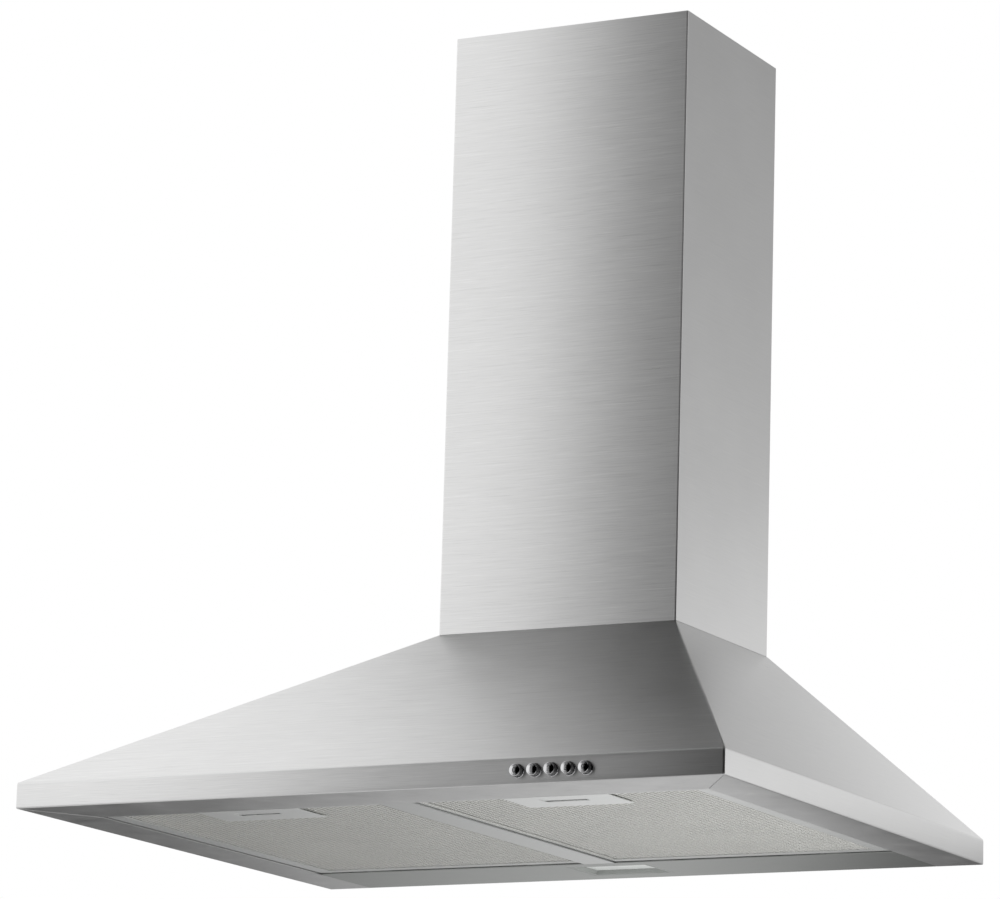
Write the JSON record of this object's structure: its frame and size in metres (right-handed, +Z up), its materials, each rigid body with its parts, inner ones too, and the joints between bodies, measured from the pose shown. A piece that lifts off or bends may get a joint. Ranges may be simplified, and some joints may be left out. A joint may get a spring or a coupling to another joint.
{
  "type": "chimney range hood",
  "caption": "Wall-mounted pyramid range hood with chimney cover, hinged grease filters, push buttons, recessed lamp, centrifugal blower and duct collar with non-return flaps.",
  "frame": {"origin": "on the wall plane, midway across the hood, at the level of the canopy's underside", "axes": "+Z up, -Y out of the wall to the front, +X to the right as the user faces the hood"},
  "size_m": [0.6, 0.5065, 0.688],
  "materials": {
    "canopy_steel": "brushed",
    "chimney_steel": "brushed",
    "underside_steel": "satin",
    "galvanised_steel": "satin",
    "filter_aluminium": "satin",
    "filter_mesh": "satin",
    "filter_net": "matte",
    "latch_metal": "satin",
    "spring_steel": "satin",
    "button_chrome": "polished",
    "switch_plastic": "matte",
    "screw_steel": "satin",
    "bezel_plastic": "matte",
    "lamp_lens": "satin",
    "lamp_cover_plastic": "matte",
    "board": "matte",
    "scroll_plastic": "matte",
    "wheel_plastic": "matte",
    "motor_metal": "satin",
    "shaft_steel": "polished",
    "rubber": "matte",
    "guard_wire": "satin",
    "collar_plastic": "matte",
    "flap_plastic": "matte",
    "terminal_plastic": "matte",
    "capacitor_case": "satin"
  },
  "bodies": {
    "hood": {"blower_screws": "screw_steel", "button_bezels": "button_chrome", "cable_gland": "terminal_plastic", "canopy_back_panel": "galvanised_steel", "canopy_shell": "canopy_steel", "capacitor": "capacitor_case", "capacitor_clip": "galvanised_steel", "centre_bar": "underside_steel", "chimney_bracket": "galvanised_steel", "deck_plate": "galvanised_steel", "deck_screws": "screw_steel", "flap_pin": "screw_steel", "inlet_guard": "guard_wire", "lamp_bezel": "bezel_plastic", "lamp_board": "board", "lamp_cover": "lamp_cover_plastic", "lamp_lens": "lamp_lens", "lamp_panel": "underside_steel", "lower_chimney": "chimney_steel", "motor": "motor_metal", "motor_bracket": "galvanised_steel", "motor_bushes": "rubber", "outlet_collar": "collar_plastic", "scroll_left": "scroll_plastic", "scroll_right": "scroll_plastic", "shaft_bearings": "shaft_steel", "switch_body": "switch_plastic", "switch_bracket": "galvanised_steel", "switch_screws": "screw_steel", "terminal_box": "terminal_plastic", "terminal_lid": "terminal_plastic"},
    "button_light_body": {"button_light": "button_chrome"},
    "button_off_body": {"button_off": "button_chrome"},
    "button_speed_1_body": {"button_speed_1": "button_chrome"},
    "button_speed_2_body": {"button_speed_2": "button_chrome"},
    "button_speed_3_body": {"button_speed_3": "button_chrome"},
    "fan": {"fan_wheel": "wheel_plastic", "motor_shaft": "shaft_steel"},
    "filter_left": {"filter_left_back_mesh": "filter_mesh", "filter_left_core": "filter_net", "filter_left_face_mesh": "filter_mesh", "filter_left_frame": "filter_aluminium", "filter_left_latch_cover": "filter_aluminium", "filter_left_latch_plate": "filter_aluminium", "filter_left_latch_spring": "spring_steel"},
    "latch_left": {"filter_left_latch": "latch_metal"},
    "filter_right": {"filter_right_back_mesh": "filter_mesh", "filter_right_core": "filter_net", "filter_right_face_mesh": "filter_mesh", "filter_right_frame": "filter_aluminium", "filter_right_latch_cover": "filter_aluminium", "filter_right_latch_plate": "filter_aluminium", "filter_right_latch_spring": "spring_steel"},
    "latch_right": {"filter_right_latch": "latch_metal"},
    "flap_front_body": {"flap_front": "flap_plastic"},
    "flap_rear_body": {"flap_rear": "flap_plastic"},
    "chimney_sleeve": {"upper_chimney": "chimney_steel"}
  },
  "joints": [
    {"name": "filter_left_hinge", "type": "hinge", "parent": "hood", "child": "filter_left", "pos_m": [-0.1315, -0.088, 0.0013], "axis": [1, 0, 0], "range_deg": [0, 45]},
    {"name": "latch_left_slide", "type": "slide", "parent": "filter_left", "child": "latch_left", "axis": [0, 1, 0], "range_m": [0, 0.004], "stiffness_N_per_m": 400, "springref_m": -0.002, "deforming": ["filter_left_latch_spring"]},
    {"name": "filter_right_hinge", "type": "hinge", "parent": "hood", "child": "filter_right", "pos_m": [0.1315, -0.088, 0.0013], "axis": [1, 0, 0], "range_deg": [0, 45]},
    {"name": "latch_right_slide", "type": "slide", "parent": "filter_right", "child": "latch_right", "axis": [0, 1, 0], "range_m": [0, 0.004], "stiffness_N_per_m": 400, "springref_m": -0.002, "deforming": ["filter_right_latch_spring"]},
    {"name": "button_off_press", "type": "slide", "parent": "hood", "child": "button_off_body", "axis": [0, 1, 0], "range_m": [0, 0.0035], "stiffness_N_per_m": 300, "springref_m": -0.002},
    {"name": "button_speed_1_press", "type": "slide", "parent": "hood", "child": "button_speed_1_body", "axis": [0, 1, 0], "range_m": [0, 0.0035], "stiffness_N_per_m": 300, "springref_m": -0.002},
    {"name": "button_speed_2_press", "type": "slide", "parent": "hood", "child": "button_speed_2_body", "axis": [0, 1, 0], "range_m": [0, 0.0035], "stiffness_N_per_m": 300, "springref_m": -0.002},
    {"name": "button_speed_3_press", "type": "slide", "parent": "hood", "child": "button_speed_3_body", "axis": [0, 1, 0], "range_m": [0, 0.0035], "stiffness_N_per_m": 300, "springref_m": -0.002},
    {"name": "button_light_press", "type": "slide", "parent": "hood", "child": "button_light_body", "axis": [0, 1, 0], "range_m": [0, 0.0035], "stiffness_N_per_m": 300, "springref_m": -0.002},
    {"name": "fan_spin", "type": "hinge", "parent": "hood", "child": "fan", "pos_m": [0, -0.072, 0.087], "axis": [1, 0, 0], "continuous": true},
    {"name": "flap_front_swing", "type": "hinge", "parent": "hood", "child": "flap_front_body", "pos_m": [0, -0.09, 0.2045], "axis": [-1, 0, 0], "range_deg": [0, 80]},
    {"name": "flap_rear_swing", "type": "hinge", "parent": "hood", "child": "flap_rear_body", "pos_m": [0, -0.09, 0.2045], "axis": [1, 0, 0], "range_deg": [0, 80]},
    {"name": "chimney_extend", "type": "slide", "parent": "hood", "child": "chimney_sleeve", "axis": [0, 0, 1], "range_m": [0, 0.4]}
  ]
}
